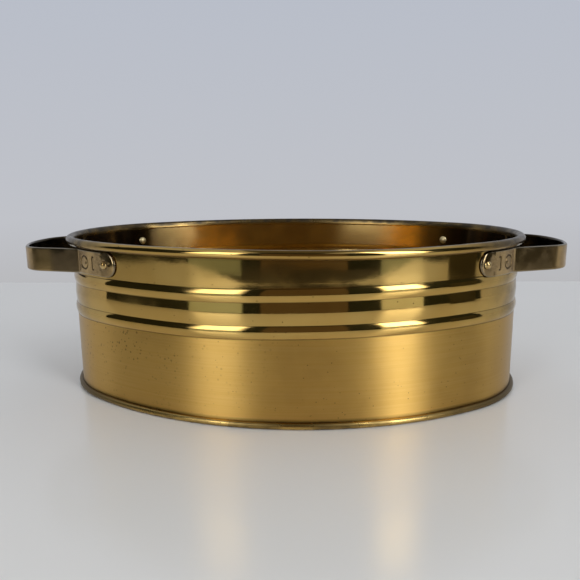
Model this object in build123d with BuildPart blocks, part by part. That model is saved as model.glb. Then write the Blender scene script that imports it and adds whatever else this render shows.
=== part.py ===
"""Oval brass cachepot: a rolled and ribbed wall, a wired rim, a folded base and two riveted strap handles.

Millimetres, +Z up, origin at the middle of the underside, the long way of the oval along X.
The front of the pot is its -Y side.
"""
import os
from math import asin, atan2, copysign, cos, degrees, radians, sin, sqrt

from build123d import *

# Oval of the wall's outer face, drawn as two end arcs and two side arcs
body_length = 221.5
body_width = 146.2
end_radius = 54.7

# Wall sheet, rim and overall height
sheet = 0.8
height = 75.4
rim_radius = 2.0
curl_turn = 300.0
wire_clearance = 0.25

# Three swaged ribs, stacked below the collar: height, level of the crest in it, and rise of each
lower_rib, lower_crest, lower_rise = 5.5, 2.7, 0.7
middle_rib, middle_crest, middle_rise = 9.8, 5.2, 0.36
upper_rib, upper_crest, upper_rise = 5.4, 2.7, 0.57

# Folded foot seam: the base sheet wraps round a short flange at the bottom of the wall
flange_reach = 0.5
bend_inside = 0.3
fold_slack = 0.4
fold_gap = 0.15
seat_gap = 0.05

# Strap handles: each tip lies on the collar between the ribs and the rim
strap_width = 11.25
collar_margin = 0.5
rib_margin = 0.35
strap_thickness = 1.6
strap_round = 0.7
handle_reach = 23.0
bow_radius = 47.2
corner_radius = 15.7
arm_slope = 20.0
leave_run = 35.5
leave_radius = 5.0
rivet_run = 54.8
right_slide = 2.0
left_slide = 9.3
right_tip = 3.2
left_tip = 6.6
tip_trim = 1.0

# Rivets
shank_radius = 1.1
head_radius = 1.9
head_height = 1.3
tail_radius = 2.1
tail_height = 1.2
hole_clearance = 0.05

# Punched ornament on the straps: a ring with a dot, and a bracket bar nearer the rivet
mark_depth = 0.25
mark_line = 0.6
ring_radius = 3.2
ring_run = 14.7
dot_radius = 0.6
dot_shift = 1.3
bar_run = 8.3
bar_height = 6.3
bar_hook = 1.5

# Oval geometry that follows from the driving sizes
half_length = body_length / 2
half_width = body_width / 2
end_centre = half_length - end_radius
side_radius = (end_centre**2 + half_width**2 - end_radius**2) / (2 * (half_width - end_radius))
side_centre = side_radius - half_width
end_angle = degrees(atan2(side_centre, end_centre))
side_angle = 180 - 2 * end_angle
end_run = end_radius * radians(end_angle)
oval_arcs = [
    (Vector(end_centre, 0), end_radius, -end_angle, 2 * end_angle),
    (Vector(0, -side_centre), side_radius, end_angle, side_angle),
    (Vector(-end_centre, 0), end_radius, 180 - end_angle, 2 * end_angle),
    (Vector(0, side_centre), side_radius, 180 + end_angle, side_angle),
]

# Heights and radii that follow from the driving sizes
curl_height = height - rim_radius
curl_out = rim_radius - sheet
wire_radius = rim_radius - sheet - wire_clearance
strap_height = curl_height - rim_radius - collar_margin - strap_width / 2
rib_top = strap_height - strap_width / 2 - rib_margin
rib_start = rib_top - upper_rib - middle_rib - lower_rib
ribs = [
    (lower_rib, lower_crest, lower_rise),
    (middle_rib, middle_crest, middle_rise),
    (upper_rib, upper_crest, upper_rise),
]
foot_height = 3 * sheet + seat_gap + fold_slack
fold_radius = foot_height / 2
strap_middle = seat_gap + strap_thickness / 2
strap_face = seat_gap + strap_thickness


def polar(radius, angle):
    """Plan vector of a length at an angle in degrees."""
    return Vector(radius * cos(radians(angle)), radius * sin(radians(angle)))


def wall_place(run, end_turn):
    """Arc centre, arc radius and facing angle of the wall at strap height, a run along it from one end.

    The end at +X has an end_turn of 0 and the end at -X one of 180. A run is positive anticlockwise.
    """
    side = copysign(1, run)
    if abs(run) <= end_run:
        centre, radius, angle = Vector(end_centre, 0), end_radius, degrees(run / end_radius)
    else:
        centre, radius = Vector(0, -side * side_centre), side_radius
        angle = side * (end_angle + degrees((abs(run) - end_run) / side_radius))
    return centre.rotate(Axis.Z, end_turn) + Vector(0, 0, strap_height), radius, angle + end_turn


def wall_plane(run, out, end_turn):
    """Plane that faces out of the wall at strap height, its x along the wall and its y up."""
    centre, radius, facing = wall_place(run, end_turn)
    origin = centre + polar(radius + out, facing)
    return Plane(origin=origin, x_dir=polar(1, facing + 90), z_dir=polar(1, facing))


def section_plane(centre, start):
    """Upright plane through an arc's centre, its x pointing out at the start angle and its y up."""
    return Plane(origin=centre, x_dir=polar(1, start), z_dir=polar(1, start - 90))


def oval_face():
    """Flat oval inside the wall's outer face, on the ground."""
    with BuildSketch() as oval:
        with BuildLine():
            for centre, radius, start, sweep_angle in oval_arcs:
                CenterArc(centre, radius, start, sweep_angle)
        make_face()
    return oval.sketch


def wall_section(plane, face):
    """Section of the wall sheet: flange, upright with ribs, and the curl of the rim."""
    inner = face - sheet
    flange_low = sheet + seat_gap
    bend_height = flange_low + sheet + bend_inside
    curl = Vector(face + curl_out, curl_height)
    curl_end = 180 - curl_turn
    with BuildSketch(plane) as section:
        with BuildLine():
            Polyline(
                (face + bend_inside, flange_low),
                (face + flange_reach, flange_low),
                (face + flange_reach, flange_low + sheet),
                (face + bend_inside, flange_low + sheet),
            )
            CenterArc((face + bend_inside, bend_height), bend_inside, 180, 90)
            CenterArc((face + bend_inside, bend_height), bend_inside + sheet, 180, 90)
            Line((face, bend_height), (face, rib_start))
            low = rib_start
            inner_from = (inner, bend_height)
            for tall, crest, rise in ribs:
                for reach in (-crest, tall - crest):
                    bulge = (reach**2 + rise**2) / (2 * rise)
                    groove = copysign(sqrt((bulge - sheet) ** 2 - (bulge - sheet - rise) ** 2), reach)
                    centre = (face + rise - bulge, low + crest)
                    CenterArc(centre, bulge, 0, degrees(asin(reach / bulge)))
                    CenterArc(centre, bulge - sheet, 0, degrees(asin(groove / (bulge - sheet))))
                    groove_end = (inner, low + crest + groove)
                    if reach < 0:
                        Line(inner_from, groove_end)
                    inner_from = groove_end
                low += tall
            Line((face, rib_top), (face, curl_height))
            Line(inner_from, (inner, curl_height))
            CenterArc(curl, rim_radius, 180, -curl_turn)
            CenterArc(curl, rim_radius - sheet, 180, -curl_turn)
            Line(curl + polar(rim_radius - sheet, curl_end), curl + polar(rim_radius, curl_end))
        make_face()
    return section.sketch


def fold_section(plane, face):
    """Section of the base sheet's edge, wrapped round the flange of the wall."""
    turn = Vector(face + flange_reach, fold_radius)
    lip = face + fold_gap
    with BuildSketch(plane) as section:
        with BuildLine():
            CenterArc(turn, fold_radius, -90, 180)
            CenterArc(turn, fold_radius - sheet, -90, 180)
            Line((turn.X, foot_height), (lip, foot_height))
            Line((lip, foot_height), (lip, foot_height - sheet))
            Line((lip, foot_height - sheet), (turn.X, foot_height - sheet))
            Line((turn.X, sheet), (face, sheet))
            Line((face, sheet), (face, 0))
            Line((face, 0), (turn.X, 0))
        make_face()
    return section.sketch


def wire_section(plane, face):
    """Section of the rim wire inside the curl."""
    with BuildSketch(plane) as section:
        with Locations((face + curl_out, curl_height)):
            Circle(wire_radius)
    return section.sketch


os.makedirs("parts", exist_ok=True)
handles = [("right", 0, right_slide, right_tip), ("left", 180, left_slide, left_tip)]
rivets = [
    ("rivet_right_back", 0, right_slide + rivet_run),
    ("rivet_right_front", 0, right_slide - rivet_run),
    ("rivet_left_front", 180, left_slide + rivet_run),
    ("rivet_left_back", 180, left_slide - rivet_run),
]

# Wall: one strip of sheet rolled into an oval hoop, drilled for the rivets
with BuildPart() as body_wall:
    for centre, radius, start, sweep_angle in oval_arcs:
        revolve(
            wall_section(section_plane(centre, start), radius),
            axis=Axis((centre.X, centre.Y, 0), (0, 0, 1)),
            revolution_arc=sweep_angle,
        )
    for _, end_turn, run in rivets:
        with Locations(wall_plane(run, strap_face, end_turn)):
            Hole(shank_radius + hole_clearance, depth=strap_face + 2 * sheet)
body_wall.part.label = "body_wall"
export_step(body_wall.part, "parts/body_wall.step")

# Rim wire: stiffens the top edge, closed inside the curl
with BuildPart() as rim_wire:
    for centre, radius, start, sweep_angle in oval_arcs:
        revolve(
            wire_section(section_plane(centre, start), radius),
            axis=Axis((centre.X, centre.Y, 0), (0, 0, 1)),
            revolution_arc=sweep_angle,
        )
rim_wire.part.label = "rim_wire"
export_step(rim_wire.part, "parts/rim_wire.step")

# Base: a flat oval sheet whose edge folds up and over the flange of the wall
with BuildPart() as base_pan:
    extrude(oval_face(), amount=sheet)
    for centre, radius, start, sweep_angle in oval_arcs:
        revolve(
            fold_section(section_plane(centre, start), radius),
            axis=Axis((centre.X, centre.Y, 0), (0, 0, 1)),
            revolution_arc=sweep_angle,
        )
base_pan.part.label = "base_pan"
export_step(base_pan.part, "parts/base_pan.step")

# Handles: a flat strap follows the wall, bends away, runs out to a bow and comes back the same way
for side, end_turn, slide, tip_reach in handles:
    axis_centre, axis_radius, axis_angle = wall_place(slide, end_turn)
    bow_out = axis_radius + handle_reach - strap_thickness / 2 - bow_radius
    bow_centre = axis_centre + polar(bow_out, axis_angle)
    with BuildPart() as handle:
        with BuildLine() as strap_line:
            for way in (1, -1):
                leave = slide + way * leave_run
                tip = slide + way * (rivet_run + tip_reach + tip_trim)
                # Along the wall, from where the strap leaves it to the tip
                stops = [leave, tip]
                if abs(leave) < end_run < abs(tip):
                    stops.insert(1, copysign(end_run, tip))
                for first, last in zip(stops, stops[1:]):
                    centre, radius, _ = wall_place((first + last) / 2, end_turn)
                    first_angle = wall_place(first, end_turn)[2]
                    last_angle = wall_place(last, end_turn)[2]
                    CenterArc(centre, radius + strap_middle, first_angle, last_angle - first_angle)
                # Bend away from the wall
                centre, radius, facing = wall_place(leave, end_turn)
                bend_centre = centre + polar(radius + strap_middle + leave_radius, facing)
                arm_heading = axis_angle - way * arm_slope
                bend_turn = arm_heading - (facing - way * 90)
                CenterArc(bend_centre, leave_radius, facing + 180, bend_turn)
                # Straight arm, up to the corner arc that is tangent to both arm and bow
                inward = polar(1, arm_heading - way * 90)
                arm_start = bend_centre + inward * leave_radius
                along = polar(1, arm_heading)
                to_corner = arm_start + inward * corner_radius - bow_centre
                behind = to_corner.dot(along)
                arm_length = sqrt(
                    behind**2 - to_corner.dot(to_corner) + (bow_radius - corner_radius) ** 2
                ) - behind
                arm_end = arm_start + along * arm_length
                Line(arm_start, arm_end)
                corner_centre = arm_end + inward * corner_radius
                corner_start = arm_heading + way * 90
                off_axis = polar(1, axis_angle).get_signed_angle(corner_centre - bow_centre, Vector(0, 0, 1))
                corner_turn = axis_angle + off_axis - corner_start
                CenterArc(corner_centre, corner_radius, corner_start, corner_turn)
                # Half of the bow
                CenterArc(bow_centre, bow_radius, axis_angle, off_axis)
        strap_wire = strap_line.wire()
        with BuildSketch(Plane(origin=strap_wire @ 0, x_dir=(0, 0, 1), z_dir=strap_wire % 0)):
            RectangleRounded(strap_width, strap_thickness, strap_round)
        sweep(path=strap_wire)
        for way in (1, -1):
            rivet_place = slide + way * rivet_run
            # Half-round tip, which reaches a little way past the rivet
            tip_place = rivet_place + way * (tip_reach - strap_width / 2)
            tip_plane = wall_plane(tip_place, strap_middle, end_turn)
            with BuildSketch(tip_plane):
                with Locations((way * strap_width / 2, 0)):
                    Rectangle(strap_width, 2 * strap_width)
                Circle(strap_width / 2, mode=Mode.SUBTRACT)
            extrude(amount=strap_thickness, both=True, mode=Mode.SUBTRACT)
            with Locations(wall_plane(rivet_place, strap_face, end_turn)):
                Hole(shank_radius + hole_clearance, depth=2 * strap_thickness)
            # Ring and dot, sunk a little below the face of the strap
            with BuildSketch(wall_plane(rivet_place - way * ring_run, strap_face, end_turn)):
                Circle(ring_radius)
                Circle(ring_radius - mark_line, mode=Mode.SUBTRACT)
                with Locations((way * dot_shift, 0)):
                    Circle(dot_radius)
            extrude(amount=-mark_depth, mode=Mode.SUBTRACT)
            # Bracket bar with two short hooks towards the rivet
            with BuildSketch(wall_plane(rivet_place - way * bar_run, strap_face, end_turn)):
                Rectangle(mark_line, bar_height)
                with Locations(
                    (way * (bar_hook - mark_line) / 2, (bar_height - mark_line) / 2),
                    (way * (bar_hook - mark_line) / 2, (mark_line - bar_height) / 2),
                ):
                    Rectangle(bar_hook, mark_line)
            extrude(amount=-mark_depth, mode=Mode.SUBTRACT)
    handle.part.label = f"handle_{side}"
    export_step(handle.part, f"parts/handle_{side}.step")

# Rivets: domed head on the strap, shank through strap and wall, formed tail inside
for name, end_turn, run in rivets:
    face_plane = wall_plane(run, 0, end_turn)
    tail_seat = -sheet - seat_gap
    with BuildPart() as rivet:
        with BuildSketch(Plane(origin=face_plane.origin, x_dir=face_plane.z_dir, z_dir=(0, 0, 1))):
            with BuildLine():
                Line((strap_face + head_height, 0), (tail_seat - tail_height, 0))
                RadiusArc(
                    (tail_seat, tail_radius),
                    (tail_seat - tail_height, 0),
                    -(tail_radius**2 + tail_height**2) / (2 * tail_height),
                )
                Polyline(
                    (tail_seat, tail_radius),
                    (tail_seat, shank_radius),
                    (strap_face, shank_radius),
                    (strap_face, head_radius),
                )
                RadiusArc(
                    (strap_face, head_radius),
                    (strap_face + head_height, 0),
                    (head_radius**2 + head_height**2) / (2 * head_height),
                )
            make_face()
        revolve(axis=Axis(face_plane.origin, face_plane.z_dir))
    rivet.part.label = name
    export_step(rivet.part, f"parts/{name}.step")
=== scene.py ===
"""Looks of an oval brass cachepot.

A polished rim, collar and ribs stand over a satin wall, with two riveted strap handles. Shapes are worked
out in millimetres in the frame of the solids, and go into the meshes in metres.
"""
import math

import bmesh
import bpy
import numpy as np
from mathutils import Matrix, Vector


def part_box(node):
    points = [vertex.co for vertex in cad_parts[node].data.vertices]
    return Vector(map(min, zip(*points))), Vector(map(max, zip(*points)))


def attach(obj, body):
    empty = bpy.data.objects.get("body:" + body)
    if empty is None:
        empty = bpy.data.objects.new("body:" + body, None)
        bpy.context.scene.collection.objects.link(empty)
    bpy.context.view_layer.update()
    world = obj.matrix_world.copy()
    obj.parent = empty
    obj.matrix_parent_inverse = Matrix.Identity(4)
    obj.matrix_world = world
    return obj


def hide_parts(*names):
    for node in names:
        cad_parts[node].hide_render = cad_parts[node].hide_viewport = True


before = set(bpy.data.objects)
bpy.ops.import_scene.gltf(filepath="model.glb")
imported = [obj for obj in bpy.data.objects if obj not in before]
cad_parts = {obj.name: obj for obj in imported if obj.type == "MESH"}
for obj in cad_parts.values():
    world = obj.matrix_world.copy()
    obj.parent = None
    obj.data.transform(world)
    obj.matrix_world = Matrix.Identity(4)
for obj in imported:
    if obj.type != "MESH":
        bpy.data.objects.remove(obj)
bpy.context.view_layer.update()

mm = 0.001

# Sheet and rolled rim, whose turn is in degrees
sheet = 0.8
rim_radius = 2.0
curl_turn = 300
curl_out = rim_radius - sheet
rim_out = curl_out + rim_radius

# Oval of the wall's outer face, from the box of its solid: end arcs and side arcs, each tangent to the next
wall_reach = np.array(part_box("body_wall")[1]) / mm
half_length = wall_reach[0] - rim_out
half_width = wall_reach[1] - rim_out
height = wall_reach[2]
end_radius = 54.7
end_centre = half_length - end_radius
side_radius = (end_centre**2 + half_width**2 - end_radius**2) / (2 * (half_width - end_radius))
side_centre = side_radius - half_width
end_angle = math.atan2(side_centre, end_centre)
end_run = end_radius * end_angle

# Ribs from the lowest up: height, level of the crest, rise, and whether it is straight above the crest
ribs = ((5.5, 2.7, 0.7, False), (9.8, 5.2, 0.36, True), (5.4, 2.7, 0.57, False))
crease_round = 0.06
crease_clear = 0.5
# Hand-rolled drift: the ribs climb towards +X and dip left of the middle, and the front of the rim droops
rib_lean = 0.0093
rib_dip, rib_dip_place, rib_dip_spread = 0.4, -28, 22
rim_droop, rim_droop_place, rim_droop_spread, rim_droop_fade = 0.6, 40, 45, 40
curl_height = height - rim_radius
roll_low = curl_height - rim_radius
strap_width = 11.25
collar_margin = 0.5
rib_margin = 0.35
strap_height = roll_low - collar_margin - strap_width / 2
rib_top = strap_height - strap_width / 2 - rib_margin
rib_start = rib_top - sum(rib[0] for rib in ribs)

# Foot: the wall's flange is held in the folded edge of the base
flange_reach = 0.5
bend_inside = 0.3
fold_gap = 0.15
foot_height = 2.85
fold_radius = foot_height / 2
flange_low = 0.85
bend_height = flange_low + sheet + bend_inside
plate_inset = 2.0

# Strap handles
strap_thickness = 1.6
strap_round = 0.7
strap_seat = 0.05
strap_middle = strap_seat + strap_thickness / 2
strap_face = strap_seat + strap_thickness
strap_half = strap_width / 2
handle_reach = 23.0
bow_radius = 47.2
corner_radius = 15.7
arm_slope = math.radians(20)
leave_run = 35.5
leave_radius = 5.0
rivet_run = 54.8
# Which way along X each handle stands, how far it slid along the wall, and its tips' reach past its rivets
handles = {"right": (1, 2.0, 3.2), "left": (-1, 9.3, 6.6)}

# Marks struck into the strap: a ring with a dot, and a bar with two hooks
mark_depth = 0.25
mark_line = 0.6
mark_soft = 0.15
mark_margin = 0.6
ring_radius = 3.2
ring_run = 14.7
dot_radius = 0.6
dot_shift = 1.3
bar_run = 8.3
bar_height = 6.3
bar_hook = 1.5

# Rivets
shank_radius = 1.1
head_radius = 1.9
head_height = 1.3
tail_radius = 2.1
tail_height = 1.2
tail_seat = -sheet - strap_seat

# Hand work: how far the sheet and the foot wander from true, in whole waves round the pot, and their lean
sheet_wave = 0.04
foot_wave = 0.06
foot_wave_times = 3
wave_counts = (9, 14, 22, 31)
wave_drift = 0.12
wave_seed = 7
# The sheet's waves fade over these heights at the foot and the rim, where a share of them is left
wave_foot_fade = 6
wave_rim_fade, wave_rim_least = 8, 0.3
# Tips hammered round each rivet: fall at the edge, depth, reach and length of the dents, and how they cross
hammer_round = 0.85
hammer_depth = 0.07
hammer_reach = 7.5
hammer_step = 4.2
dent_slant = (0.4, -0.3)
dent_start = (0.6, -0.9)

# Darkening on the wall: along the creases, and painted shade above the foot, a painted shadow under the rim
# and painted shade on the underside of its roll
crease_dark_reach, crease_dark_share = 0.22, 0.7
foot_shade_height = 0.8
rim_shadow_start, rim_shadow_spread = 0.2, 0.4
roll_shade_drop, roll_shade_spread, roll_shade_share = 0.7, 1.0, 0.85
# Tarnish towards the two ends: how far from the middle it starts and where it is full
wall_tarnish = (72, 114)
inside_tarnish = (66, 98)
rim_tarnish = (60, 98)
foot_tarnish = (40, 100)
# Dull top of the rim, by degrees round the roll, which spreads lower down at the ends
patina_angle, patina_spread = 62, 20
patina_end_angle, patina_end_share = -25, 0.9
# Flecks of wear on the lower wall: they thin out towards +X and towards the foot
wear_end, wear_length = 20, 100
wear_low, wear_height, wear_least = 4, 25, 0.3
# Brown on the straps: at the tips round the rivets, and along a share of each arm, and how sharply it ends
# The right tip and the left arm take more brown: partly patina, partly painted shade over their bright
# reflections
tip_brown = {"right": 0.6, "left": 0.35}
tip_brown_core, tip_brown_reach = 1.3, 5
arm_brown = {"right": 0.5, "left": 0.95}
arm_brown_end = {"right": 1.0, "left": 0.7}
arm_brown_fade = 8
# Width of the painted highlight along the strap's outer edges, against their round
edge_highlight_width = 1.4

# Materials: share of a speck that is full, and share of a turn from brushed lines to their spread gloss
pit_core = 0.55
brush_turn = 0.25

# Steps of the grids: round the pot, up the wall and its ribs, round the rim, over the base and its folded
# edge, along half a strap and round it, and over a rivet
round_count = 460
plain_steps, rib_steps, collar_steps = 16, 25, 10
bend_steps, hollow_steps, roll_steps = 5, 10, 37
plate_rings, bead_steps, fold_steps = 9, 22, 9
tip_rows, rivet_rows, mark_rows, leave_rows = 22, 14, 83, 5
bend_rows, arm_rows, corner_rows, bow_rows = 13, 9, 25, 23
face_steps, back_steps, quarter_steps = 61, 15, 6
rivet_sides, dome_steps = 48, 14
# Faces that meet at more than this many degrees stay sharp, and points closer than the distance are one
smooth_angle = 38
merge_distance = 0.001

# Photograph's camera, in millimetres and degrees
photo_lens = 37.27
photo_sensor = 36.0
camera_place = (28.3, -305.4, 106.1)
camera_heading = 5.478
camera_pitch = 11.392
camera_roll = -0.54

# Room and its round table, which has a straight front and a straight back
room_turn = 3.3
table_radius = 545
table_front = -378
table_back = 259
table_steps = 61
# Paints of the room: colour, roughness and index of refraction
paints = {
    "white lacquered board": ("#F0EFEA", 0.2, 1.7),
    "unlit room": ("#25291F", 0.9, 1.5),
    "brown room": ("#6B5B47", 0.9, 1.5),
    "unlit floor": ("#45433F", 0.9, 1.5),
    "grey panel": ("#CCD8D2", 0.8, 1.5),
    "pale panel": ("#F2F8F4", 0.8, 1.5),
    "shaded panel": ("#96A29C", 0.8, 1.5),
    "dim ceiling": ("#6E6A60", 0.9, 1.5),
    "shaded block": ("#4A4636", 0.9, 1.5),
}
# Cards that stand round the pot: paint, first and last bearing, lowest and highest level, and distance
cards = {
    "dark_side": ("unlit room", -83.6, 80.7, -600, 1900, 1750),
    "brown_side": ("brown room", -12, 22, -200, 1200, 1700),
    "apron": ("unlit floor", -83.6, 80.7, -600, -200, 1720),
    "panel_left": ("grey panel", -42, -20, -130, 90, 1650),
    "panel_right": ("pale panel", 36, 53, -130, 90, 1650),
    "panel_left_foot": ("shaded panel", -42, -20, -210, -130, 1650),
    "panel_right_foot": ("shaded panel", 36, 53, -210, -130, 1650),
}
card_steps = 24
# Windows: first and last bearing, lowest and highest level, and brightness in the middle
windows = {"window_left": (-43, -18, 104, 900, 3.4), "window_right": (35, 55, 104, 1500, 5.9)}
window_distance = 900
window_plain = 0.55
# Dim strip of ceiling, and a low block on the table towards +X
ceiling_half, ceiling_front, ceiling_back, ceiling_height = 450, -1750, 1400, 1900
block_ends = ((374, -191), (400, -109))
block_height = 120
# Upward parts of the directions at which the room's wall changes colour
wall_foot, wall_band, wall_top = -0.19, -0.07, 0.25


def linear(code, alpha=1.0):
    """Turns an sRGB hex colour into linear red, green, blue and alpha."""
    parts = [int(code[start:start + 2], 16) / 255 for start in (1, 3, 5)]
    return tuple(p / 12.92 if p <= 0.04045 else ((p + 0.055) / 1.055) ** 2.4 for p in parts) + (alpha,)


def add_node(tree, kind, inputs=None, **settings):
    """Adds one shader node: settings are its own properties, inputs are values or sockets by name or
    place."""
    made = tree.nodes.new(kind)
    for key, value in settings.items():
        setattr(made, key, value)
    for key, value in (inputs or {}).items():
        if isinstance(value, bpy.types.NodeSocket):
            tree.links.new(value, made.inputs[key])
        else:
            made.inputs[key].default_value = value
    return made


def arc(centre, radius, start, turn, count):
    """Points on a circle: centre plus radius times (cos, sin) of angles spread evenly from start by
    turn, in degrees."""
    angle = np.radians(np.linspace(start, start + turn, count))
    return np.stack([centre[0] + radius * np.cos(angle), centre[1] + radius * np.sin(angle)], -1)


def smooth(share):
    """Share from 0 to 1 eased at both ends: three times its square less twice its cube."""
    return share**2 * (3 - 2 * share)


def bell(x, middle, spread):
    """Bell shape over x: e to the power of minus the square of the distance from the middle over the
    spread."""
    return np.exp(-(((x - middle) / spread) ** 2))


def oval_places():
    """Places at even runs round the oval, from the +X end anticlockwise: arc centre, arc radius, facing
    and share of the way round. Each arc is swept at its own radius, so facing grows by run over radius
    along it."""
    side_turn = math.pi - 2 * end_angle
    radius = np.array([end_radius, side_radius, end_radius, side_radius])
    sweep = np.array([2 * end_angle, side_turn, 2 * end_angle, side_turn])
    start = np.array([-end_angle, end_angle, math.pi - end_angle, math.pi + end_angle])
    centre = np.array([[end_centre, 0], [0, -side_centre], [-end_centre, 0], [0, side_centre]])
    arc_ends = np.cumsum(radius * sweep)
    share = np.arange(round_count) / round_count
    run = share * arc_ends[-1]
    which = np.searchsorted(arc_ends, run, side="right")
    facing = start[which] + (run - (arc_ends - radius * sweep)[which]) / radius[which]
    return centre[which], radius[which], facing, share


def wander(share, level, size, seed):
    """Slow unevenness of hand work: a sum of sine waves, whole numbers of them round the piece, that
    drift with level."""
    random = np.random.default_rng(seed)
    total = np.zeros(np.broadcast(share, level).shape)
    for count in wave_counts:
        drift = random.uniform(-wave_drift, wave_drift)
        phase = random.uniform(0, math.tau)
        total = total + np.sin(math.tau * count * share + drift * level + phase) / count**0.5
    return size * total


def carried_round(out, level, share):
    """Grid of points: each section point stands out from the oval by its offset and up by its level.
    Share draws the oval in towards its middle, down to a point at share nought. Out may differ at every
    place."""
    centre, radius, facing, _ = oval_places()
    reach = radius[:, None] + np.broadcast_to(out, (round_count, out.shape[-1]))
    x = share * (centre[:, :1] + reach * np.cos(facing)[:, None])
    y = share * (centre[:, 1:] + reach * np.sin(facing)[:, None])
    return np.stack([x, y, np.broadcast_to(level, x.shape)], -1)


def grid_faces(rows, columns, ring_rows=False, ring_columns=True):
    """Four-sided faces between the neighbours of a grid, closed across the edges that are rings."""
    row = np.arange(rows if ring_rows else rows - 1)[:, None]
    column = np.arange(columns if ring_columns else columns - 1)[None, :]
    next_row, next_column = (row + 1) % rows, (column + 1) % columns
    corners = (row * columns + column, next_row * columns + column,
               next_row * columns + next_column, row * columns + next_column)
    return np.stack(np.broadcast_arrays(*corners), -1).reshape(-1, 4)


def add_mesh(name, points, faces, materials):
    """Makes a smooth-shaded mesh object from points in millimetres, with its faces turned outwards. The
    sign of the enclosed volume, summed over the faces' two triangles, says which way they point."""
    points = points.reshape(-1, 3) * mm
    a, b, c, d = (points[faces[:, corner]] for corner in range(4))
    volume = np.sum(a * np.cross(b, c)) + np.sum(a * np.cross(c, d))
    mesh = bpy.data.meshes.new(name)
    mesh.from_pydata(points, [], faces if volume > 0 else faces[:, ::-1])
    for material in materials:
        mesh.materials.append(material)
    mesh.shade_smooth()
    mesh.set_sharp_from_angle(angle=math.radians(smooth_angle))
    made = bpy.data.objects.new(name, mesh)
    bpy.context.scene.collection.objects.link(made)
    return made


def add_marks(made, **values):
    """Stores a value for each point under its own name, for the materials to read."""
    for key, value in values.items():
        mark = made.data.attributes.new(key, "FLOAT", "POINT")
        mark.data.foreach_set("value", np.ascontiguousarray(value, dtype=np.float32).ravel())


def close_poles(made):
    """Merges the points that lie together where a surface runs to a point, and drops the faces that
    shrink away."""
    edit = bmesh.new()
    edit.from_mesh(made.data)
    bmesh.ops.remove_doubles(edit, verts=edit.verts, dist=merge_distance * mm)
    edit.to_mesh(made.data)
    edit.free()


def settle(made, node):
    """The piece rides with the pot and stands in for its solid, which is hidden."""
    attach(made, "root")
    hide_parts(node)


def new_material(name, *marks):
    """A metal with its node tree, the object's own coordinates, and the values that the piece stores
    for each point under the names of its marks."""
    material = bpy.data.materials.new(name)
    material.use_nodes = True
    tree = material.node_tree
    tree.nodes["Principled BSDF"].inputs["Metallic"].default_value = 1.0
    place = add_node(tree, "ShaderNodeTexCoord").outputs["Object"]
    stored = [add_node(tree, "ShaderNodeAttribute", attribute_name=mark).outputs["Fac"] for mark in marks]
    return material, tree, place, stored


def clouds(tree, place, size, low, high, least=0.0, most=1.0, detail=3.0):
    """Mask of soft patches about size millimetres across: it rises from least to most between two
    levels of noise."""
    grain = {"Vector": place, "Scale": 1 / (size * mm), "Detail": detail}
    noise = add_node(tree, "ShaderNodeTexNoise", grain).outputs["Fac"]
    levels = {"Value": noise, "From Min": low, "From Max": high, "To Min": least, "To Max": most}
    return add_node(tree, "ShaderNodeMapRange", levels, interpolation_type="SMOOTHSTEP").outputs["Result"]


def pits(tree, place, spacing, size, most=1.0):
    """Mask of round specks: points of a random lattice of that spacing show where they lie within size
    of the surface."""
    edge = size / spacing
    cells = add_node(tree, "ShaderNodeTexVoronoi", {"Vector": place, "Scale": 1 / (spacing * mm)})
    off_point = cells.outputs["Distance"]
    levels = {"Value": off_point, "From Min": edge, "From Max": pit_core * edge, "To Max": most}
    return add_node(tree, "ShaderNodeMapRange", levels, interpolation_type="SMOOTHSTEP").outputs["Result"]


def level_lines(tree, place, length, spacing):
    """Noise drawn out level round the pot: patches of that length, spaced that far apart up the wall.
    Real buffing and brushing lines are finer than a pixel, so they are drawn wider apart, to show."""
    scale = (1 / (length * mm), 1 / (length * mm), 1 / (spacing * mm))
    stretched = add_node(tree, "ShaderNodeMapping", {"Vector": place, "Scale": scale}).outputs["Vector"]
    grain = {"Vector": stretched, "Scale": 1.0, "Detail": 2.0}
    return add_node(tree, "ShaderNodeTexNoise", grain).outputs["Fac"]


def layered(tree, ground, *layers):
    """Colour of a face: a ground colour with layers over it. Each layer is a mask, how much of the
    layer shows where the mask is 1, and its colour."""
    colour = linear(ground)
    for mask, most, code in layers:
        share = add_node(tree, "ShaderNodeMapRange", {"Value": mask, "To Max": most}).outputs["Result"]
        mix = add_node(tree, "ShaderNodeMix", {0: share, 6: colour, 7: linear(code)}, data_type="RGBA")
        colour = mix.outputs[2]
    return colour


def roughest(tree, *ranges):
    """Roughness of a face: the largest of several values, each of which runs from low to high with its
    mask."""
    rough = 0.0
    for mask, low, high in ranges:
        levels = {"Value": mask, "To Min": low, "To Max": high}
        value = add_node(tree, "ShaderNodeMapRange", levels).outputs["Result"]
        rough = add_node(tree, "ShaderNodeMath", {0: rough, 1: value}, operation="MAXIMUM").outputs["Value"]
    return rough


def finish_metal(tree, colour, roughness, *bumps, brushed=0.0):
    """Gives the metal its colour and roughness. Each bump is a height mask, its strength and its depth
    in millimetres, and starts from the one before. A brushed face draws its gloss out across level
    lines."""
    shader = tree.nodes["Principled BSDF"]
    tree.links.new(colour, shader.inputs["Base Color"])
    tree.links.new(roughness, shader.inputs["Roughness"])
    under = {}
    for mask, strength, depth in bumps:
        bump_inputs = {"Height": mask, "Strength": strength, "Distance": depth * mm}
        normal = add_node(tree, "ShaderNodeBump", bump_inputs | under).outputs["Normal"]
        tree.links.new(normal, shader.inputs["Normal"])
        under = {"Normal": normal}
    if brushed:
        shader.inputs["Anisotropic"].default_value = brushed
        shader.inputs["Anisotropic Rotation"].default_value = brush_turn


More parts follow.
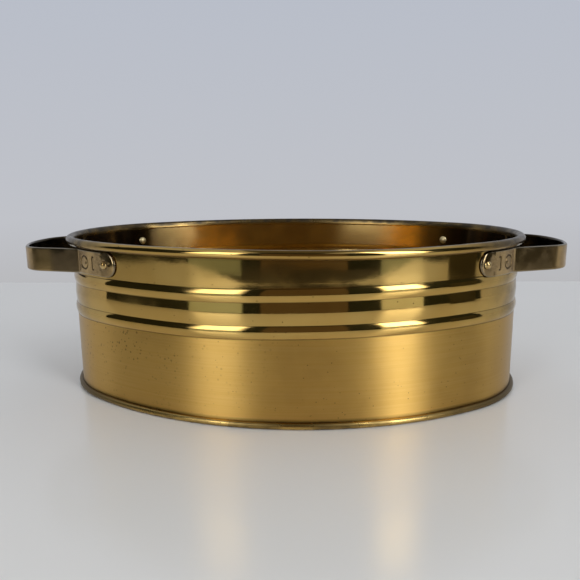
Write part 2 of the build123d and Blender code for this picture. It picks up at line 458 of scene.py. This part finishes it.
def polished_brass():
    """Sheet brass buffed to a mirror. The eye sees sharp reflections, a slight haze in patches, dark
    pin-prick specks, dark brown lines in the creases, a brown tarnish towards the two ends and a dull
    grey-brown rim top. Painted shade darkens the collar under the rim and the underside of the roll."""
    material, tree, place, marks = new_material("buffed sheet brass", "crease_and_shade", "tarnish", "patina")
    crease_and_shade, tarnish, patina = marks
    haze = clouds(tree, place, size=14, low=0.35, high=0.7)
    tone = clouds(tree, place, size=45, low=0.4, high=0.75)
    specks = add_node(tree, "ShaderNodeMath", {
        0: pits(tree, place, spacing=3.2, size=0.3),
        1: clouds(tree, place, size=22, low=0.42, high=0.58),
    }, operation="MULTIPLY").outputs["Value"]
    darkening = add_node(tree, "ShaderNodeMath", {0: specks, 1: crease_and_shade}, operation="MAXIMUM").outputs["Value"]
    brown = add_node(tree, "ShaderNodeMath", {
        0: tarnish,
        1: clouds(tree, place, size=8, low=0.3, high=0.7, least=0.45, most=0.9),
    }, operation="MULTIPLY").outputs["Value"]
    dull = add_node(tree, "ShaderNodeMath", {
        0: patina,
        1: clouds(tree, place, size=5, low=0.3, high=0.7, least=0.7),
    }, operation="MULTIPLY").outputs["Value"]
    # Darkest layer: specks, darkened creases, and painted shade under the rim and on the underside of the
    # roll
    colour = layered(tree, "#D0AD64", (tone, 1, "#C09A52"), (brown, 1, "#6A5A3C"), (dull, 1, "#4C4336"),
                     (darkening, 1, "#33240F"))
    rough = roughest(tree, (haze, 0.05, 0.1), (darkening, 0, 0.3), (brown, 0, 0.3), (dull, 0, 0.38))
    lines = level_lines(tree, place, length=30, spacing=0.5)
    ripple = clouds(tree, place, size=2.5, low=0.2, high=0.8)
    finish_metal(tree, colour, rough, (lines, 0.06, 0.02), (ripple, 0.12, 0.015))
    return material


def inner_brass():
    """The inside of the same sheet, rubbed level but never buffed bright. The eye sees reflections
    drawn out into tall panels, brown stains and near-black tarnish at the two ends."""
    material, tree, place, (tarnish,) = new_material("rubbed sheet brass", "tarnish")
    stain = clouds(tree, place, size=16, low=0.4, high=0.7)
    colour = layered(tree, "#E2C27C", (stain, 1, "#BC9A5A"), (tarnish, 1, "#5C4A31"))
    finish_metal(tree, colour, roughest(tree, (stain, 0.13, 0.19)), brushed=0.95)
    return material


def satin_brass():
    """The same sheet, brushed level round the pot. The eye sees tall soft glows instead of reflections,
    fine level lines, a brown bloom in patches, scattered dark specks and flecks where the finish is
    worn."""
    material, tree, place, marks = new_material("satin brushed brass", "crease_and_shade", "tarnish", "wear")
    crease_and_shade, tarnish, wear = marks
    lines = level_lines(tree, place, length=40, spacing=0.7)
    bloom = clouds(tree, place, size=30, low=0.45, high=0.8)
    specks = add_node(tree, "ShaderNodeMath", {
        0: pits(tree, place, spacing=2.8, size=0.32),
        1: clouds(tree, place, size=26, low=0.4, high=0.6),
    }, operation="MULTIPLY").outputs["Value"]
    flecks = add_node(tree, "ShaderNodeMath", {
        0: pits(tree, place, spacing=2.1, size=0.6),
        1: clouds(tree, place, size=9, low=0.4, high=0.62),
    }, operation="MULTIPLY").outputs["Value"]
    worn = add_node(tree, "ShaderNodeMath", {0: flecks, 1: wear}, operation="MULTIPLY").outputs["Value"]
    spots = add_node(tree, "ShaderNodeMath", {0: specks, 1: worn}, operation="MAXIMUM").outputs["Value"]
    # The near-black layer is painted shade just above the foot, with a little darkening at the lowest
    # crease
    colour = layered(tree, "#CFA350", (lines, 1, "#DDB568"), (bloom, 0.3, "#9A763C"),
                     (tarnish, 0.45, "#6E5630"), (spots, 0.65, "#553A1A"), (crease_and_shade, 1, "#1E150A"))
    finish_metal(tree, colour, roughest(tree, (lines, 0.33, 0.43)), (lines, 0.25, 0.02), brushed=0.9)
    return material


def strap_brass():
    """Thick strip brass, handled for years. The eye sees a mottled gold bow, brown arms and tips, grey
    lines along the outer edges that are a painted highlight, dark oxide in the struck marks, and painted
    shade on the side that faces the pot."""
    material, tree, place, marks = new_material("handled strip brass", "arm", "edge", "hidden", "recess")
    arm, edge, hidden, recess = marks
    bloom = clouds(tree, place, size=7, low=0.35, high=0.65, detail=5.0)
    specks = pits(tree, place, spacing=3.0, size=0.2, most=0.5)
    darkening = add_node(tree, "ShaderNodeMath", {0: specks, 1: recess}, operation="MAXIMUM").outputs["Value"]
    # The grey edge layer is a painted highlight and the dark back layer is painted shade
    colour = layered(tree, "#CCA766", (bloom, 1, "#A07F4A"), (arm, 1, "#6A5232"), (edge, 1, "#8C8068"),
                     (hidden, 1, "#4C4436"), (darkening, 0.85, "#241A0D"))
    grain = clouds(tree, place, size=0.6, low=0.2, high=0.8)
    finish_metal(tree, colour, roughest(tree, (bloom, 0.14, 0.27), (darkening, 0, 0.5)), (grain, 0.15, 0.03))
    return material


def foot_brass():
    """Plain sheet brass that stands on the table. The eye sees a worn gold bead, brown tarnish in
    broken patches that close up towards the ends, and a dull floor inside the pot."""
    material, tree, place, (at_ends,) = new_material("tarnished sheet brass", "tarnish")
    patches = clouds(tree, place, size=14, low=0.36, high=0.7, least=0.05, most=0.85)
    larger = add_node(tree, "ShaderNodeMath", {0: patches, 1: at_ends}, operation="MAXIMUM")
    tarnish = larger.outputs["Value"]
    specks = pits(tree, place, spacing=3.4, size=0.3)
    colour = layered(tree, "#C4A460", (tarnish, 1, "#6A5836"), (specks, 1, "#2F2210"))
    grain = clouds(tree, place, size=1.1, low=0.2, high=0.8)
    finish_metal(tree, colour, roughest(tree, (tarnish, 0.2, 0.42)), (grain, 0.1, 0.04))
    return material


def rivet_brass():
    """Round-headed brass rivets, hammered by hand. The eye sees small bright domes with a few dull
    dents, and tails inside that are too rough to mirror the dark pot, whose pale colour is a painted
    highlight."""
    material, tree, place, (tail,) = new_material("hammered brass rivet", "tail")
    dents = clouds(tree, place, size=1.4, low=0.3, high=0.7)
    # The pale tail layer is a painted highlight
    colour = layered(tree, "#D6BC84", (dents, 1, "#94743F"), (tail, 1, "#E8D6A4"))
    finish_metal(tree, colour, roughest(tree, (dents, 0.12, 0.26), (tail, 0, 0.5)), (dents, 0.5, 0.08))
    return material


def wire_steel():
    """Drawn steel wire inside the rolled rim, mostly out of sight. The eye sees dull grey with patches
    of rust."""
    material, tree, place, _ = new_material("drawn steel wire")
    rust = clouds(tree, place, size=3, low=0.5, high=0.75)
    finish_metal(tree, layered(tree, "#7C7A76", (rust, 1, "#5A4636")), roughest(tree, (rust, 0.35, 0.6)))
    return material


def rib_levels():
    """Levels up the ribs, crowded towards the creases: along each rib the level follows half a turn of
    a cosine."""
    swing = (1 - np.cos(np.linspace(0, math.pi, rib_steps)[:-1])) / 2
    tall = np.array([rib[0] for rib in ribs])
    low = rib_start + np.cumsum(tall) - tall
    return np.append((low[:, None] + tall[:, None] * swing).ravel(), rib_top)


def rib_rise(level):
    """Rise of the wall's face at each level: every rib is two circular arcs, or an arc and a straight
    slope, that meet at its crest and fall away to its creases. Creases are rounded by averaging with a
    bell-shaped weight."""
    step = 0.02
    weight_steps = 20
    fine = np.arange(0, height, step)
    rise = np.zeros_like(fine)
    low = rib_start
    for tall, crest, peak, straight in ribs:
        off_crest = fine - low - crest
        reach = np.where(off_crest < 0, crest, tall - crest)
        bulge = (reach**2 + peak**2) / (2 * peak)
        bent = np.sqrt(np.maximum(bulge**2 - off_crest**2, 0)) - bulge + peak
        if straight:
            bent = np.where(off_crest > 0, peak * (1 - off_crest / reach), bent)
        rise = np.where(np.abs(off_crest) <= reach, bent, rise)
        low += tall
    weight = bell(np.arange(-weight_steps, weight_steps + 1) * step, 0, crease_round * 2**0.5)
    return np.interp(level, fine, np.convolve(rise, weight / weight.sum(), mode="same"))


def hand_drift(points, level):
    """How far each point of the wall stands above true. The ribbed band shifts by the lean times x less
    a bell-shaped dip, which dies out towards the rim and the foot. The rim sinks by a bell-shaped
    droop, at the front alone."""
    x, y = points[..., 0], points[..., 1]
    shift = rib_lean * x - rib_dip * bell(x, rib_dip_place, rib_dip_spread)
    band = np.interp(level, [foot_height, rib_start, rib_top, roll_low], [0, 1, 1, 0])
    sink = rim_droop * bell(x, rim_droop_place, rim_droop_spread) * np.clip(-y / rim_droop_fade, 0, 1)
    return shift * band - sink * np.interp(level, [rib_top, roll_low], [0, 1])


def end_tarnish(points, start, full):
    """Mask that grows smoothly from 0 to 1 as a point lies further towards either end of the oval."""
    return smooth(np.clip((np.abs(points[..., 0]) - start) / (full - start), 0, 1))


def wall_section():
    """Closed section of the wall in five runs of (offset, level): the flange held in the foot with its
    bend, the outer face with its ribs, the hollow and the round of the rolled rim, and the inner face,
    one sheet thickness behind the outer."""
    plain = np.linspace(bend_height, rib_start - crease_clear, plain_steps)
    ribbed = rib_levels()
    collar = np.linspace(rib_top + crease_clear, curl_height, collar_steps)
    outer = np.concatenate([plain, ribbed, collar])
    inner = np.concatenate([plain[::3], ribbed[::3], collar[::2]])[::-1]
    bend_centre = (bend_inside, bend_height)
    roll_centre = (curl_out, curl_height)
    flange = [[bend_inside, flange_low], [flange_reach, flange_low], [flange_reach, flange_low + sheet]]
    bend = arc(bend_centre, bend_inside, 270, -90, bend_steps)[:-1]
    inner_bend = arc(bend_centre, bend_inside + sheet, 180, 90, bend_steps)[1:-1]
    return [
        np.concatenate([flange, bend]),
        np.stack([rib_rise(outer), outer], -1),
        arc(roll_centre, rim_radius - sheet, 180, -curl_turn, hollow_steps)[1:],
        arc(roll_centre, rim_radius, 180 - curl_turn, curl_turn, roll_steps)[:-1],
        np.concatenate([np.stack([rib_rise(inner) - sheet, inner], -1), inner_bend]),
    ]


def wall_marks(points, level, ends):
    """Marks on the wall: a darkening that fades with distance from the creases, painted shade that fades
    with distance from the foot, a painted shadow under the rim and painted shade on the underside of its
    roll, tarnish towards the ends, a dull rim top by the angle round the roll, and flecks of wear low down."""
    flange_end, face_end, roll_start, inside_start = ends[:4]
    place = np.arange(len(level))
    on_face = (place >= flange_end) & (place < face_end)
    on_roll = (place >= face_end) & (place < inside_start)
    creases = rib_start + np.cumsum([0] + [rib[0] for rib in ribs])
    off_crease = np.min(np.abs(level[:, None] - creases), axis=1)
    # Darker along the creases; painted shade above the foot, a painted shadow under the rim, and painted
    # shade under the roll
    crease_dark = np.clip(1 - off_crease / crease_dark_reach, 0, 1) * crease_dark_share
    foot_shade = np.clip((foot_height + foot_shade_height - level) / foot_shade_height, 0, 1)
    rim_shadow = np.clip((level - roll_low - rim_shadow_start) / rim_shadow_spread, 0, 1)
    roll_shade = np.clip((curl_height - roll_shade_drop - level) / roll_shade_spread, 0, 1) * roll_shade_share
    face_darkening = np.maximum.reduce([crease_dark, foot_shade, rim_shadow])
    darkening = np.where(on_face, face_darkening, np.where(on_roll, roll_shade, 0))
    over = np.full(len(level), -180.0)
    over[roll_start:inside_start] = np.linspace(180 - curl_turn, 180, roll_steps)[:-1]
    top_patina = np.clip((over - patina_angle) / patina_spread, 0, 1)
    end_patina = np.where(over > patina_end_angle, patina_end_share, 0) * end_tarnish(points, *rim_tarnish)
    along_wear = np.clip((wear_end - points[..., 0]) / wear_length, 0, 1)
    return {
        "crease_and_shade": np.tile(darkening, (round_count, 1)),
        "tarnish": np.where(place >= inside_start, end_tarnish(points, *inside_tarnish),
                            end_tarnish(points, *wall_tarnish)),
        "patina": np.maximum(top_patina, end_patina),
        "wear": along_wear * np.clip((level - wear_low) / wear_height, wear_least, 1),
    }


def make_wall(polished, satin, inside):
    """The wall is its closed section carried round the oval, moved by the sheet's slow waves and by the
    drift of hand rolling. It is polished from the first rib up, satin below, and rubbed inside."""
    runs = wall_section()
    ends = np.cumsum([len(run) for run in runs])
    _, face_end, _, inside_start, count = ends
    out, level = np.concatenate(runs).T
    loose = np.clip((level - foot_height) / wave_foot_fade, 0, 1)
    loose = loose * np.clip((height - level) / wave_rim_fade, wave_rim_least, 1)
    out = out + loose * wander(oval_places()[3][:, None], level, sheet_wave, wave_seed)
    points = carried_round(out, level, 1.0)
    points[..., 2] += hand_drift(points, level)
    faces = grid_faces(round_count, count, ring_rows=True)
    made = add_mesh("wall_sheet", points, faces, [polished, satin, inside])
    place = np.arange(count)
    below_ribs = np.maximum(level, np.roll(level, -1)) < rib_start + merge_distance
    finish = np.where((place < face_end) & below_ribs, 1, 0)
    finish = np.where(place >= inside_start, 2, finish)
    made.data.polygons.foreach_set("material_index", np.tile(finish, round_count).astype(np.int32))
    add_marks(made, **wall_marks(points, level, ends))
    settle(made, "body_wall")


def make_foot(material):
    """The base is a flat oval plate whose edge is folded up and over the wall's flange: a section with
    a half-round bead carried round the oval, joined to its middle by rings that shrink to a point."""
    shrink = np.linspace(0, 1, plate_rings)
    flat = np.stack([np.full(plate_rings, -plate_inset), np.zeros(plate_rings)], -1)
    centre = (flange_reach, fold_radius)
    bead = np.concatenate([
        arc(centre, fold_radius, -90, 180, bead_steps),
        [[fold_gap, foot_height], [fold_gap, foot_height - sheet]],
        arc(centre, fold_radius - sheet, 90, -180, fold_steps),
    ])
    out, level = np.concatenate([flat, bead, flat[::-1] + [0, sheet]]).T
    share = np.concatenate([shrink, np.ones(len(bead)), shrink[::-1]])
    on_bead = np.clip((out - flange_reach) / fold_radius, 0, 1)
    waves = wander(oval_places()[3][:, None] * foot_wave_times, level, foot_wave, wave_seed + 1)
    points = carried_round(out - on_bead * np.abs(waves), level, share)
    faces = grid_faces(round_count, len(level), ring_rows=True, ring_columns=False)
    made = add_mesh("base_plate", points, faces, [material])
    add_marks(made, tarnish=end_tarnish(points, *foot_tarnish))
    close_poles(made)
    settle(made, "base_pan")


def wall_place(run, out):
    """Point and facing on the wall at a run from the +X end, standing out by an offset. Up to the end
    arc's run the angle is run over radius, and past it the side arc carries on from the end arc's
    angle."""
    past = np.maximum(np.abs(run) - end_run, 0)
    side = np.sign(run)
    on_end = past == 0
    facing = np.where(on_end, run / end_radius, side * (end_angle + past / side_radius))
    reach = np.where(on_end, end_radius, side_radius) + out
    x = np.where(on_end, end_centre, 0) + reach * np.cos(facing)
    y = np.where(on_end, 0, -side * side_centre) + reach * np.sin(facing)
    return x, y, facing


def polar(length, angle):
    """Plan vector of a length at an angle."""
    return length * np.array([math.cos(angle), math.sin(angle)])


def free_route(slide, way):
    """Half of a handle clear of the wall, as points and outward directions from the wall to the middle
    of the bow: a small bend off the wall, a straight arm, a round corner and half of the bow, each
    tangent to the next."""
    x, y, axis = (float(v) for v in wall_place(np.float64(slide), 0))
    bow_centre = np.array([x, y]) + polar(handle_reach - strap_thickness / 2 - bow_radius, axis)
    leave = wall_place(np.float64(slide + way * leave_run), strap_middle + leave_radius)
    x, y, facing = (float(v) for v in leave)
    bend_centre = np.array([x, y])
    arm_heading = axis - way * arm_slope
    bend_turn = arm_heading - (facing - way * math.pi / 2)
    inward = polar(1, arm_heading - way * math.pi / 2)
    along = polar(1, arm_heading)
    arm_start = bend_centre + inward * leave_radius
    to_corner = arm_start + inward * corner_radius - bow_centre
    behind = to_corner @ along
    arm_length = math.sqrt(behind**2 - to_corner @ to_corner + (bow_radius - corner_radius) ** 2) - behind
    corner_centre = arm_start + along * arm_length + inward * corner_radius
    corner_start = arm_heading + way * math.pi / 2
    to_bow = corner_centre - bow_centre
    off_axis = math.remainder(math.atan2(to_bow[1], to_bow[0]) - axis, math.tau)
    bend = np.linspace(0, bend_turn, bend_rows + 1)[1:] + facing + math.pi
    arm = np.linspace(0, arm_length, arm_rows + 1)[1:, None]
    corner = np.linspace(corner_start, axis + off_axis, corner_rows + 1)[1:]
    bow = np.linspace(axis + off_axis, axis, bow_rows + 1)[1:]
    ways = [np.stack([np.cos(angle), np.sin(angle)], -1) for angle in (bend, corner, bow)]
    points = [bend_centre + leave_radius * ways[0], arm_start + arm * along,
              corner_centre + corner_radius * ways[1], bow_centre + bow_radius * ways[2]]
    outward = [-ways[0], np.tile(-inward, (arm_rows, 1)), ways[1], ways[2]]
    return np.concatenate(points), np.concatenate(outward)


def strap_section():
    """Section of the strap as a closed loop: signed share across, inset from the long edge, and offset
    from the middle of its thickness. The four corners are quarter rounds."""
    half = strap_thickness / 2
    quarter = np.radians(np.linspace(90, 0, quarter_steps + 1)[1:])
    rise = half - strap_round + strap_round * np.sin(quarter)
    inset = strap_round * (1 - np.cos(quarter))
    edge = np.concatenate([inset, inset[::-1]])
    share = np.concatenate([np.linspace(-1, 1, face_steps), np.ones(len(edge)),
                            np.linspace(1, -1, back_steps)[1:-1], -np.ones(len(edge))])
    insets = np.concatenate([np.full(face_steps, strap_round), edge,
                             np.full(back_steps - 2, strap_round), edge])
    offset = np.concatenate([np.full(face_steps, half), rise, -rise[::-1],
                             np.full(back_steps - 2, -half), -rise, rise[::-1]])
    return share, insets, offset


def struck_marks(along, across):
    """Mask of the marks at a distance along from the rivet and across from the strap's middle: a ring,
    a dot and a bar with hooks, each full inside its outline and fading over the soft edge."""
    from_ring = np.hypot(along - ring_run, across)
    from_dot = np.hypot(along - ring_run + dot_shift, across)
    hook_along = np.abs(along - bar_run + (bar_hook - mark_line) / 2) - bar_hook / 2
    hook_across = np.abs(np.abs(across) - (bar_height - mark_line) / 2) - mark_line / 2
    outside = np.minimum.reduce([
        np.abs(from_ring - ring_radius + mark_line / 2) - mark_line / 2,
        from_dot - dot_radius,
        np.maximum(np.abs(along - bar_run) - mark_line / 2, np.abs(across) - bar_height / 2),
        np.maximum(hook_along, hook_across),
    ])
    return np.clip(0.5 - outside / mark_soft, 0, 1)


def hammered_tip(along, across, tip_reach):
    """How far the face of a hammered tip falls below true: it rounds off with the cube of the distance
    from the middle of the tip, and two crossed waves, one dent long, wander over it and fade with
    distance from the rivet."""
    off_middle = np.hypot(np.minimum(along + tip_reach - strap_half, 0), across) / strap_half
    near_tip = np.clip(1 - (along + tip_reach) / hammer_reach, 0, 1) ** 0.5
    near_rivet = np.clip(1 - np.hypot(along, across) / hammer_reach, 0, 1) ** 0.5
    wave = math.tau / hammer_step
    dents = np.sin(wave * (along + dent_slant[0] * across) + dent_start[0])
    dents = dents * np.sin(wave * (across + dent_slant[1] * along) + dent_start[1])
    return hammer_round * off_middle**3 * near_tip + hammer_depth * near_rivet * np.maximum(dents, 0)


def wall_rows(slide, way, tip_reach):
    """Rows of a strap along the wall from its rounded tip to where it leaves: at the tip each row turns
    from the strap's line to its width, so a section point moves on by its inset radius times the sine
    and narrows by the cosine."""
    rivet = slide + way * rivet_run
    tip = rivet + way * (tip_reach - strap_half)
    marks_start = rivet - way * (bar_run - bar_hook - mark_margin)
    marks_end = rivet - way * (ring_run + ring_radius + mark_margin)
    run = np.concatenate([
        np.full(tip_rows, tip),
        np.linspace(tip, marks_start, rivet_rows),
        np.linspace(marks_start, marks_end, mark_rows + 1)[1:],
        np.linspace(marks_end, slide + way * leave_run, leave_rows + 1)[1:],
    ])
    bend = np.concatenate([np.linspace(math.pi / 2, 0, tip_rows + 1)[:-1], np.zeros(len(run) - tip_rows)])
    return run[:, None], bend[:, None], rivet


def strap_brown(side, from_rivet):
    """How brown each row of half a strap is: it fades with distance from the rivet, grows along the
    bend off the wall, holds along the arm and ends at a share of it."""
    on_tip = np.clip(tip_brown_core - np.abs(from_rivet) / tip_brown_reach, 0, 1) * tip_brown[side]
    arm_share = np.linspace(0, 1, arm_rows + 1)[1:]
    on_arm = np.clip(arm_brown_fade * (arm_brown_end[side] - arm_share) + 0.5, 0, 1)
    free = np.concatenate([np.linspace(0, 1, bend_rows), on_arm, np.zeros(corner_rows + bow_rows)])
    return np.concatenate([on_tip, free * arm_brown[side]])


def make_handle(side, material):
    """A handle is the strap's section carried from one tip along the wall, out round the bow and back
    to the other tip. Marks are pressed into the outer face, and the tips are hammered round."""
    ahead, slide, tip_reach = handles[side]
    share, inset, offset = strap_section()
    on_face = offset == offset.max()
    outer_share = offset / strap_thickness + 0.5
    rows, recess, brown = [], [], []
    for way in (1, -1):
        run, bend, rivet = wall_rows(slide, way, tip_reach)
        run = run + way * (strap_half - inset) * np.sin(bend)
        across = share * (strap_half - inset) * np.cos(bend)
        from_rivet = way * (rivet - run)
        pressed = struck_marks(from_rivet, across) * on_face
        fallen = hammered_tip(from_rivet, across, tip_reach) * outer_share
        x, y, _ = wall_place(run, strap_middle + offset - mark_depth * pressed - fallen)
        points, outward = free_route(slide, way)
        free = points[:, None, :] + outward[:, None, :] * offset[None, :, None]
        bow_across = np.broadcast_to(share * (strap_half - inset), free.shape[:2])
        part = np.concatenate([np.stack([x, y, strap_height + across], -1),
                               np.concatenate([free, strap_height + bow_across[..., None]], -1)])
        # The second half runs back from the bow, without its middle row, which the first half has
        order = slice(None) if way == 1 else slice(-2, None, -1)
        rows.append(part[order])
        recess.append(np.concatenate([pressed, np.zeros(free.shape[:2])])[order])
        brown.append(strap_brown(side, from_rivet[:, 0])[order])
    grid = np.concatenate(rows)
    grid[..., :2] *= ahead
    made = add_mesh("strap_" + side, grid, grid_faces(len(grid), len(share)), [material])
    # Painted highlight: full along the outer edges, and a share of it over the outer face
    edge = np.broadcast_to(np.clip(edge_highlight_width - inset / strap_round, 0, 1) * (offset > 0), grid.shape[:2])
    # Painted shade on the side that faces the pot
    hidden = np.broadcast_to(np.clip(0.5 - 2 * offset / strap_thickness, 0, 1), grid.shape[:2])
    arm = np.broadcast_to(np.concatenate(brown)[:, None], grid.shape[:2])
    add_marks(made, recess=np.concatenate(recess), edge=edge, hidden=hidden, arm=arm)
    close_poles(made)
    settle(made, "handle_" + side)


def make_rivet(side, end, material):
    """A rivet is a lathe shape about the wall's outward direction: a domed head on the strap, a shank
    through strap and wall, and a hammered dome inside. Each dome is an arc of the sphere through its
    edge and its top."""
    ahead, slide, _ = handles[side]
    way = 1 if (end == "back") == (ahead == 1) else -1
    domes = []
    for radius, tall in ((head_radius, head_height), (tail_radius, tail_height)):
        ball = (radius**2 + tall**2) / (2 * tall)
        angle = np.linspace(0, math.asin(radius / ball), dome_steps)
        domes.append(np.stack([ball * np.sin(angle), ball * np.cos(angle) - ball + tall], -1))
    head, tail = domes
    shank = [[shank_radius, strap_face], [shank_radius, tail_seat]]
    reach, out = np.concatenate([head + [0, strap_face], shank, (tail * [1, -1] + [0, tail_seat])[::-1]]).T
    turn = np.linspace(0, math.tau, rivet_sides, endpoint=False)[:, None]
    x, y, facing = (float(v) for v in wall_place(np.float64(slide + way * rivet_run), 0))
    sideways = reach * np.cos(turn)
    grid = np.stack([x + out * math.cos(facing) - sideways * math.sin(facing),
                     y + out * math.sin(facing) + sideways * math.cos(facing),
                     strap_height + reach * np.sin(turn)], -1)
    grid[..., :2] *= ahead
    faces = grid_faces(rivet_sides, len(out), ring_rows=True, ring_columns=False)
    made = add_mesh(f"dome_rivet_{side}_{end}", grid, faces, [material])
    add_marks(made, tail=np.tile(out < tail_seat, (rivet_sides, 1)))
    close_poles(made)
    settle(made, f"rivet_{side}_{end}")


def painted(name):
    """Plain painted surface of the room."""
    code, roughness, index = paints[name]
    material = bpy.data.materials.new(name)
    material.use_nodes = True
    shader = material.node_tree.nodes["Principled BSDF"]
    shader.inputs["Base Color"].default_value = linear(code)
    shader.inputs["Roughness"].default_value = roughness
    shader.inputs["IOR"].default_value = index
    return material


def stage_sheet(name, points, material, seen=False):
    """A sheet of the room from a grid of points in millimetres, seen by the camera or only in
    reflections."""
    points = np.array(points, float)
    rows, columns = points.shape[:2]
    mesh = bpy.data.meshes.new(name)
    mesh.from_pydata(points.reshape(-1, 3) * mm, [], grid_faces(rows, columns, ring_columns=False))
    mesh.materials.append(material)
    made = bpy.data.objects.new(name, mesh)
    bpy.context.scene.collection.objects.link(made)
    made.visible_camera = seen
    return made


def upright(name, material, first, last, low, high, distance):
    """A card standing round the pot: an arc of that distance between two bearings, from low to high.
    Bearing nought is in front of the pot, towards -Y, and grows towards +X."""
    bearing = np.radians(np.linspace(first, last, card_steps))[:, None]
    level = np.array([low, high])[None, :]
    x = distance * np.sin(bearing)
    y = -distance * np.cos(bearing)
    return stage_sheet(name, np.stack(np.broadcast_arrays(x, y, level), -1), material)


def make_window(name, first, last, low, high, brightness):
    """A tall window with a soft glow: brightness is full in the middle and falls off smoothly to both
    sides."""
    material = bpy.data.materials.new("daylight " + name)
    material.use_nodes = True
    tree = material.node_tree
    tree.nodes.clear()
    fall = add_node(tree, "ShaderNodeAttribute", attribute_name="glow").outputs["Fac"]
    glow = add_node(tree, "ShaderNodeMath", {0: fall, 1: brightness}, operation="MULTIPLY").outputs["Value"]
    light = add_node(tree, "ShaderNodeEmission", {"Color": linear("#F4F7FF"), "Strength": glow})
    add_node(tree, "ShaderNodeOutputMaterial", {"Surface": light.outputs["Emission"]})
    made = upright(name, material, first, last, low, high, window_distance)
    across = np.abs(np.linspace(-1, 1, card_steps))
    past = np.clip((across - window_plain) / (1 - window_plain), 0, 1)
    add_marks(made, glow=np.repeat(1 - smooth(past), 2))


def make_table(material):
    """A round white table with a straight front and a straight back: strips from front to back, each as
    long as the circle and the two straight edges leave it, turned with the room."""
    room = math.radians(room_turn)
    across = table_radius * np.sin(np.linspace(-math.pi / 2, math.pi / 2, table_steps))
    reach = np.sqrt(np.maximum(table_radius**2 - across**2, 0))
    ends = np.stack([np.maximum(-reach, table_front), np.minimum(reach, table_back)], -1)
    x = across[:, None] * math.cos(room) - ends * math.sin(room)
    y = across[:, None] * math.sin(room) + ends * math.cos(room)
    stage_sheet("table_top", np.stack([x, y, np.zeros_like(x)], -1), material, seen=True)


def make_room():
    """A white table in a pale room that is dark on the side of the camera, with two tall windows there
    and a pale panel with a shaded foot under each. Brown stands between the windows, a dim strip hangs
    over the table, and a low block stands on it, out of the camera's sight."""
    materials = {name: painted(name) for name in paints}
    make_table(materials["white lacquered board"])
    for name, (paint, *place) in cards.items():
        upright(name, materials[paint], *place)
    ceiling = [[[x, y, ceiling_height] for y in (ceiling_front, ceiling_back)]
               for x in (-ceiling_half, ceiling_half)]
    stage_sheet("dim_strip", ceiling, materials["dim ceiling"])
    block = [[[x, y, z] for z in (0, block_height)] for x, y in block_ends]
    stage_sheet("dark_block", block, materials["shaded block"])
    for name, place in windows.items():
        make_window(name, *place)


def make_world():
    """A pale room: its wall runs from a darker warm grey at the table, which is painted shade, through a
    paler band to a cooler grey higher up, and soft light of one colour comes from all round."""
    world = bpy.data.worlds.new("pale room")
    world.use_nodes = True
    tree = world.node_tree
    facing = add_node(tree, "ShaderNodeTexCoord").outputs["Generated"]
    rise = add_node(tree, "ShaderNodeSeparateXYZ", {"Vector": facing}).outputs["Z"]
    low_levels = {"Value": rise, "From Min": wall_foot, "From Max": wall_band}
    high_levels = {"Value": rise, "From Min": wall_band, "From Max": wall_top}
    low = add_node(tree, "ShaderNodeMapRange", low_levels).outputs["Result"]
    high = add_node(tree, "ShaderNodeMapRange", high_levels).outputs["Result"]
    # The darker warm grey at the foot of the wall is painted shade where it meets the table
    wall = layered(tree, "#B7B7B9", (low, 1, "#C0C2C8"), (high, 1, "#B9BEC9"))
    rays = add_node(tree, "ShaderNodeLightPath").outputs
    shown = {0: rays["Is Camera Ray"], 1: rays["Is Glossy Ray"]}
    seen = add_node(tree, "ShaderNodeMath", shown, operation="MAXIMUM").outputs["Value"]
    light = add_node(tree, "ShaderNodeMix", {0: seen, 6: linear("#DCDDE0"), 7: wall}, data_type="RGBA")
    tree.links.new(light.outputs[2], tree.nodes["Background"].inputs["Color"])
    bpy.context.scene.world = world


def make_camera():
    """The photograph's camera: place, turn about Z, downward pitch, and a slight roll about its own
    axis."""
    camera = bpy.data.cameras.new("photo_camera")
    camera.lens = photo_lens
    camera.sensor_width = photo_sensor
    made = bpy.data.objects.new("photo_camera", camera)
    made.matrix_world = (Matrix.Translation([value * mm for value in camera_place])
                         @ Matrix.Rotation(math.radians(camera_heading), 4, "Z")
                         @ Matrix.Rotation(math.radians(90 - camera_pitch), 4, "X")
                         @ Matrix.Rotation(math.radians(camera_roll), 4, "Z"))
    bpy.context.scene.collection.objects.link(made)
    bpy.context.scene.camera = made


make_wall(polished_brass(), satin_brass(), inner_brass())
make_foot(foot_brass())
strap_finish, rivet_finish = strap_brass(), rivet_brass()
for handle_side in handles:
    make_handle(handle_side, strap_finish)
    for rivet_end in ("front", "back"):
        make_rivet(handle_side, rivet_end, rivet_finish)
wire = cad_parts["rim_wire"]
wire.data.materials.clear()
wire.data.materials.append(wire_steel())
make_room()
make_world()
make_camera()
bpy.context.scene.view_settings.view_transform = "Standard"
